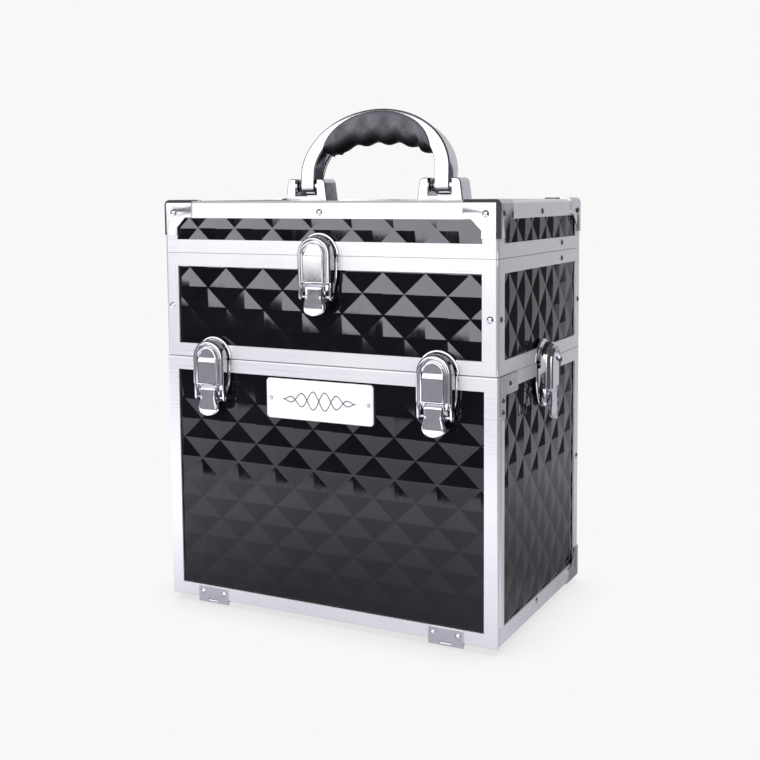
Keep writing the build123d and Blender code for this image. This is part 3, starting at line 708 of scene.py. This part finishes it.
def brushed_plate():
    made, tree, shader = finish_material("brushed_plate", (0.9, 0.9, 0.92), 0.4, 0.35)
    grain = noise(tree, 60, 6, (0.4, 1, 30))
    tinted(tree, shader, grain, (0.84, 0.84, 0.86), (0.95, 0.95, 0.96))
    join(tree, spread(tree, grain, 0.36, 0.48), shader, 0, "Roughness")
    surface(tree, shader, grain, 0.03, 0.02 * mm)
    return made


def dark_enamel():
    made, tree, shader = finish_material("dark_enamel", (0.02, 0.02, 0.024), 0.3)
    cloud = noise(tree, 90, 3)
    tinted(tree, shader, cloud, (0.015, 0.015, 0.018), (0.03, 0.03, 0.035))
    join(tree, spread(tree, cloud, 0.22, 0.4), shader, 0, "Roughness")
    return made


def plate_place():
    """Where the plate stands: drawn about its middle, Z out of the door."""
    low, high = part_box("name_plate")
    return turned((1, 0, 0), (0, 0, 1), Vector(((low.x + high.x) / 2, high.y, (low.z + high.z) / 2)))


wave_reach = 33.0
wave_height = 7.5
wave_half_width = 0.35
wave_field = 0.95 * mm


def name_plate_shape():
    low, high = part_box("name_plate")
    half_x = (high.x - low.x) / 2
    half_z = (high.z - low.z) / 2
    part = bmesh.new()
    corners = [(-half_x, -half_z), (half_x, -half_z), (half_x, half_z), (-half_x, half_z)]
    face = outline(part, corners, 3.0 * mm, 8)
    edge = [(0, 0.9), (0.15, 0.25), (0.35, 0.2), (0.7, 0.03), (0.4, -0.2), (0.25, -0.1)]
    built_up(part, face, in_mm(edge))
    bmesh.ops.recalc_face_normals(part, faces=part.faces[:])
    bmesh.ops.transform(part, matrix=plate_place(), verts=part.verts)
    return part


def wave_shape():
    """Two crossing waves of dark enamel with thin raised lines."""
    part = bmesh.new()
    for turn in (0, math.pi):
        ribbon = bmesh.new()
        bmesh.ops.create_grid(ribbon, x_segments=120, y_segments=1, size=0.5)
        for vert in ribbon.verts:
            along = 2 * vert.co.x
            swell = math.cos(math.pi * vert.co.x)
            phase = 3 * math.pi * along + turn
            wave = wave_height * swell * math.sin(phase)
            slope = wave_height * swell * 3 * math.pi * math.cos(phase) / wave_reach
            half = wave_half_width * math.sqrt(1 + slope ** 2) * math.copysign(1, vert.co.y)
            vert.co = (along * wave_reach * mm, (wave + half) * mm, wave_field)
        made = bmesh.ops.extrude_face_region(ribbon, geom=ribbon.faces[:], use_keep_orig=True)
        raised = [item for item in made["geom"] if isinstance(item, bmesh.types.BMVert)]
        bmesh.ops.translate(ribbon, vec=(0, 0, 0.2 * mm), verts=raised)
        bmesh.ops.recalc_face_normals(ribbon, faces=ribbon.faces[:])
        merge_into(part, ribbon)
    bmesh.ops.transform(part, matrix=plate_place(), verts=part.verts)
    return part


piece("name_plate_brushed", name_plate_shape(), brushed_plate(), "door", "plate_silver", "name_plate")
piece("name_plate_waves", wave_shape(), dark_enamel(), "door", "black_panel")


# Handle brackets and pins ---------------------------------------------------------------------
# Two die-cast and chromed towers bolted to the lid. Each is notched for the handle's foot, which
# turns on a steel pin across the notch.

eased("handle_brackets", chrome, "polished_chrome", 0.9 * mm, 4)
finish("handle_pins", chrome)


# Handle bow and grip ----------------------------------------------------------------------------
# A chromed bow of folded channel, open to the inside, whose feet narrow to round knuckles. A grip
# of matt moulded plastic with finger hollows is clipped into its crown.

handle_axis = middle_of("handle_pins")
handle_lean = math.radians(14)
bow_spring = 10.0 * mm
bow_squash = 55.4 / 71.0
foot_radius = 7.9 * mm
bow_half_width = 10.0 * mm
knuckle_offset = 63.8 * mm


def stand_handle(part):
    """Lean a handle part back about its pins."""
    bmesh.ops.rotate(part, matrix=Matrix.Rotation(-handle_lean, 3, "X"), verts=part.verts)
    bmesh.ops.translate(part, vec=handle_axis, verts=part.verts)


def bow_shape():
    """A channel swept over the crown, run down to its feet and narrowed to the round knuckles."""
    part = bmesh.new()
    outer = [(57.8, -10), (71, -10), (71, 10), (57.8, 10)]
    inner = [(57.8, 8), (69.2, 8), (69.2, -8), (57.8, -8)]
    outline(part, [(x * mm, y * mm) for x, y in outer + inner], 1.7 * mm, 5, (1, 2))
    tips = [vert for vert in part.verts if vert.co.x < 58 * mm]
    soften(part, tips, 0.7 * mm, 3, "VERTICES")
    bmesh.ops.delete(part, geom=part.faces[:], context="FACES_ONLY")
    bmesh.ops.spin(part, geom=part.verts[:] + part.edges[:], cent=(0, 0, 0), axis=(0, -1, 0),
                   angle=math.pi, steps=84)
    bmesh.ops.scale(part, vec=(1, 1, bow_squash), verts=part.verts)
    bmesh.ops.translate(part, vec=(0, 0, bow_spring), verts=part.verts)
    for height in (8, 5, 2, 0, -2, -4, -5.5, -6.6, -7.4, -7.8):
        ends = [edge for edge in part.edges if edge.is_boundary]
        made = bmesh.ops.extrude_edge_only(part, edges=ends)
        for item in made["geom"]:
            if isinstance(item, bmesh.types.BMVert):
                item.co.z = height * mm
    for vert in part.verts:
        height = vert.co.z
        foot = math.sqrt(max(0.0, foot_radius ** 2 - min(0.0, height) ** 2))
        narrow = min(bow_half_width, foot + 0.15 * max(0.0, height))
        vert.co.y *= narrow / bow_half_width
    bmesh.ops.edgeloop_fill(part, edges=[edge for edge in part.edges if edge.is_boundary])
    bmesh.ops.recalc_face_normals(part, faces=part.faces[:])
    for side in (-1, 1):
        merge_into(part, pin(20.4 * mm, Vector((side * knuckle_offset, 0, 0)), 5.5 * mm, 0.8 * mm))
    stand_handle(part)
    return part


def moulded_grey():
    made, tree, shader = finish_material("moulded_grey", (0.05, 0.049, 0.056), 0.5, IOR=1.45)
    cloud = noise(tree, 35, 4)
    grey = tint(tree, spread(tree, cloud, 0, 1), (0.031, 0.03, 0.037), (0.043, 0.041, 0.05))
    # Painted shade: a vertex attribute set in grip_shape mixes the grip's colour towards near black, darker
    # towards the bottom of the grip.
    painted_shade_colour = node(tree, "Mix", data_type="RGBA")
    painted_shade_colour.inputs[7].default_value = (0.004, 0.004, 0.005, 1)
    join(tree, node(tree, "Attribute", attribute_name="painted_underside_shade"), painted_shade_colour, "Fac", 0)
    join(tree, grey, painted_shade_colour, 2, 6)
    join(tree, painted_shade_colour, shader, 2, "Base Color")
    join(tree, spread(tree, noise(tree, 300, 3), 0.42, 0.6), shader, 0, "Roughness")
    surface(tree, shader, noise(tree, 1400, 2), 0.25, 0.06 * mm)
    return made


def grip_shape():
    """A tube rolled from a grid: square shoulders under the bow, round below, with finger hollows."""
    part = bmesh.new()
    bmesh.ops.create_grid(part, x_segments=150, y_segments=64, size=0.5)
    painted_underside_shade = part.verts.layers.float.new("painted_underside_shade")
    for vert in part.verts:
        along = math.sin(math.pi * vert.co.x)
        angle = 2 * math.pi * vert.co.y
        across = 50.5 * along
        crown = 30 + 34.2 * math.sqrt(max(0.0, 1 - along ** 2))
        under = 28 + 9 * math.sqrt(max(0.0, 1 - (across / 40) ** 2))
        fade = max(0.0, min(1.0, (46 - abs(across)) / 8))
        ridge = math.cos(2 * math.pi * (across - 6) / 20.8) * fade
        under -= 1.3 * ridge - 0.6
        waist = crown - 0.5 * (crown - under)
        sine = math.sin(angle)
        cosine = math.cos(angle)
        power = 0.3 if sine > 0 else 0.95
        rise = crown - waist if sine > 0 else waist - under
        depth = 11.5 * math.copysign(abs(cosine) ** (0.3 if sine > 0 else 0.75), cosine)
        depth *= 1 - (0.045 * (1 - ridge) * -sine if sine < 0 else 0)
        height = waist + rise * math.copysign(abs(sine) ** power, sine)
        vert.co = (across * mm, depth * mm, height * mm)
        # The vertex attribute below carries painted shade for the material: more towards the bottom and on
        # the ridges between the finger hollows.
        painted_shade_share = (0.22 * (1 + ridge) - sine * 1.1) / 0.45
        vert[painted_underside_shade] = max(0.0, min(1.0, painted_shade_share))
    bmesh.ops.remove_doubles(part, verts=part.verts, dist=0.01 * mm)
    ends = [edge for edge in part.edges if edge.is_boundary]
    bmesh.ops.edgeloop_fill(part, edges=ends)
    bmesh.ops.recalc_face_normals(part, faces=part.faces[:])
    stand_handle(part)
    return part


piece("handle_bow_chromed", bow_shape(), chrome, "handle", "polished_chrome", "handle_bow")
piece("handle_grip_moulded", grip_shape(), moulded_grey(), "handle", "grey_grip", "handle_grip")


# Linings and feet -------------------------------------------------------------------------
# Short black flock glued over the boards inside, and turned rubber feet under the lower box.

def black_flock():
    made, tree, shader = finish_material("black_flock", (0.012, 0.012, 0.014), 0.95, Sheen_Weight=0.4)
    pile = noise(tree, 1400, 3)
    tinted(tree, shader, pile, (0.008, 0.008, 0.009), (0.03, 0.03, 0.034))
    surface(tree, shader, pile, 0.5, 0.3 * mm)
    return made


def black_rubber():
    made, tree, shader = finish_material("black_rubber", (0.02, 0.02, 0.02), 0.7)
    speck = noise(tree, 600, 3)
    join(tree, spread(tree, speck, 0.55, 0.8), shader, 0, "Roughness")
    surface(tree, shader, speck, 0.3, 0.1 * mm)
    return made


flock = black_flock()
rubber = black_rubber()
for node_name in ("lower_lining", "door_lining", "upper_lining", "lid_lining", "rubber_feet"):
    finish(node_name, rubber if node_name == "rubber_feet" else flock)


# Floor, light and camera --------------------------------------------------------------------
# A pale floor for the camera, with a painted contact shadow round the case, and a glowing table top
# that only reflections show, standing in for a lit table, with painted shade that makes it dimmer near
# the case and towards the rear. In front, one linked softbox lights the dark pieces, a weaker one and a
# low card the bright ones. Another softbox hangs above, and a screen stands behind.

backdrop_level = 0.94
contact_reach = 0.06
ground = bmesh.new()
bmesh.ops.create_grid(ground, x_segments=1, y_segments=1, size=20)
floor_mesh = bpy.data.meshes.new("floor")
ground.to_mesh(floor_mesh)
ground.free()


def glowing(name):
    """A plain glowing material for the studio, whose brightness a pattern may set."""
    made = bpy.data.materials.new(name)
    made.use_nodes = True
    tree = made.node_tree
    tree.nodes.clear()
    glow = node(tree, "Emission")
    join(tree, glow, node(tree, "OutputMaterial"), "Emission", "Surface")
    return made, tree, glow


floor_material, floor_tree, floor_glow = glowing("pale_floor")
# Painted contact shadow: the floor's glow is darkened by ambient occlusion close to the case.
contact = node(floor_tree, "AmbientOcclusion", {"Distance": contact_reach}, samples=8)
painted_contact_shadow = spread(floor_tree, contact, 0.8 * backdrop_level, backdrop_level, 0.35, 0.85)
join(floor_tree, painted_contact_shadow, floor_glow, 0, "Color")
floor_mesh.materials.append(floor_material)
floor = bpy.data.objects.new("floor", floor_mesh)
scene.collection.objects.link(floor)
floor.visible_glossy = False

table_low = Vector((-1.4, -0.66, 0.0003))
table_high = Vector((0.40, 1.6, 0.0003))
table_bm = bmesh.new()
bmesh.ops.create_grid(table_bm, x_segments=1, y_segments=1, size=0.5)
bmesh.ops.scale(table_bm, vec=(*(table_high - table_low).xy, 1), verts=table_bm.verts)
bmesh.ops.translate(table_bm, vec=(table_high + table_low) / 2, verts=table_bm.verts)
table_mesh = bpy.data.meshes.new("table_top")
table_bm.to_mesh(table_mesh)
table_bm.free()
table_material, table_tree, table_glow = glowing("white_table")
table_glow.inputs["Color"].default_value = (0.92, 0.88, 1.0, 1)
# Painted shade: the table's glow is dimmer close to the case and from the case's front rearwards, standing in
# for the case's shadow on the table.
away = node(table_tree, "VectorMath", operation="LENGTH")
join(table_tree, node(table_tree, "TexCoord"), away, "Object", 0)
reach = node(table_tree, "MapRange", {"From Min": 0.15, "From Max": 0.6, "To Min": 0.55, "To Max": 1.7})
join(table_tree, away, reach, 1, "Value")
places = node(table_tree, "SeparateXYZ")
join(table_tree, node(table_tree, "TexCoord"), places, "Object", 0)
beside = node(table_tree, "MapRange", {"From Min": -0.1, "From Max": 0.1, "To Min": 1.0, "To Max": 0.4})
join(table_tree, places, beside, "Y", "Value")
painted_table_shade = node(table_tree, "Math", operation="MULTIPLY")
join(table_tree, reach, painted_table_shade, 0, 0)
join(table_tree, beside, painted_table_shade, 0, 1)
join(table_tree, painted_table_shade, table_glow, 0, "Strength")
table_mesh.materials.append(table_material)
table = bpy.data.objects.new("table_top", table_mesh)
scene.collection.objects.link(table)
table.visible_camera = False
table.visible_diffuse = False
table.visible_shadow = False


def softbox(name, centre, across, up, width, height, radiance, colour=(1, 1, 1)):
    """A flat light that shines along up x across, seen in reflections but not by the camera."""
    data = bpy.data.lights.new(name, "AREA")
    data.shape = "RECTANGLE"
    data.size = width
    data.size_y = height
    data.energy = radiance * math.pi * width * height
    data.color = colour
    made = bpy.data.objects.new(name, data)
    scene.collection.objects.link(made)
    across = Vector(across).normalized()
    up = Vector(up).normalized()
    made.matrix_world = turned(across, up, centre)
    made.visible_camera = False
    return made


slant = math.radians(7.2)
front_edge = Vector((-0.65, -1.2, 0.205))
front_up = Vector((math.sin(slant), 0, math.cos(slant)))
front_across = Vector((math.cos(slant), 0, -math.sin(slant)))
front_middle = front_edge + front_up * 0.6
dark_finishes = (laminate.name, "moulded_grey")
on_dark = bpy.data.collections.new("dark_pieces")
on_bright = bpy.data.collections.new("bright_pieces")
for item in scene.objects:
    if item.type == "MESH":
        dark = any(slot.material and slot.material.name in dark_finishes for slot in item.material_slots)
        (on_dark if dark else on_bright).objects.link(item)
dark_light = softbox("front_softbox", front_middle, front_across, front_up, 2.2, 1.2, 6.0, (0.94, 0.92, 1.0))
dark_light.light_linking.receiver_collection = on_dark
bright_light = softbox("front_softbox_soft", front_middle, front_across, front_up, 2.2, 1.2, 1.45)
bright_light.light_linking.receiver_collection = on_bright
card_colour = (0.92, 0.91, 1.0)
front_card = softbox("front_card", (-0.65, -0.75, 0.1), (1, 0, 0), (0, 0, 1), 2.2, 0.2, 0.22, card_colour)
front_card.light_linking.receiver_collection = on_bright
top_light = softbox("top_softbox", (0, -0.3, 1.6), (1, 0, 0), (0, 1, 0), 2.6, 2.2, 1.5)
top_light.visible_glossy = False
softbox("rear_screen", (-0.375, 1.8, 0.45), (-1, 0, 0), (0, 0, 1), 2.55, 2.1, 0.5, (0.95, 0.94, 1.0))

world = bpy.data.worlds.new("studio")
scene.world = world
world.use_nodes = True
sky = world.node_tree
room_light = sky.nodes["Background"]
room_light.inputs["Color"].default_value = (0.08, 0.08, 0.09, 1)
seen_light = node(sky, "Background", {"Color": (backdrop_level, backdrop_level, backdrop_level, 1)})
soft_light = node(sky, "Background", {"Color": (0.6, 0.6, 0.6, 1)})
path = node(sky, "LightPath")
diffuse_mix = node(sky, "MixShader")
camera_mix = node(sky, "MixShader")
join(sky, path, diffuse_mix, "Is Diffuse Ray", 0)
join(sky, room_light, diffuse_mix, 0, 1)
join(sky, soft_light, diffuse_mix, 0, 2)
join(sky, path, camera_mix, "Is Camera Ray", 0)
join(sky, diffuse_mix, camera_mix, 0, 1)
join(sky, seen_light, camera_mix, 0, 2)
join(sky, camera_mix, sky.nodes["World Output"], 0, "Surface")

camera_data = bpy.data.cameras.new("camera")
camera = bpy.data.objects.new("camera", camera_data)
scene.collection.objects.link(camera)
camera_data.sensor_width = 36.0
camera_data.lens = 54.43
camera_data.shift_x = -0.0241
camera_data.shift_y = -0.1072
yaw = 0.4627
pitch = 0.0914
roll = -0.0059
camera.location = Vector((456.09, -869.11, 346.22)) * mm
forward = Vector((-math.sin(yaw) * math.cos(pitch), math.cos(yaw) * math.cos(pitch), -math.sin(pitch)))
right = Vector((math.cos(yaw), math.sin(yaw), 0))
upward = right.cross(forward)
level_right = right * math.cos(roll) + upward * math.sin(roll)
level_up = upward * math.cos(roll) - right * math.sin(roll)
camera.rotation_euler = Matrix((level_right, level_up, -forward)).transposed().to_euler()
camera_data.clip_start = 0.01
scene.camera = camera
scene.view_settings.view_transform = "Standard"
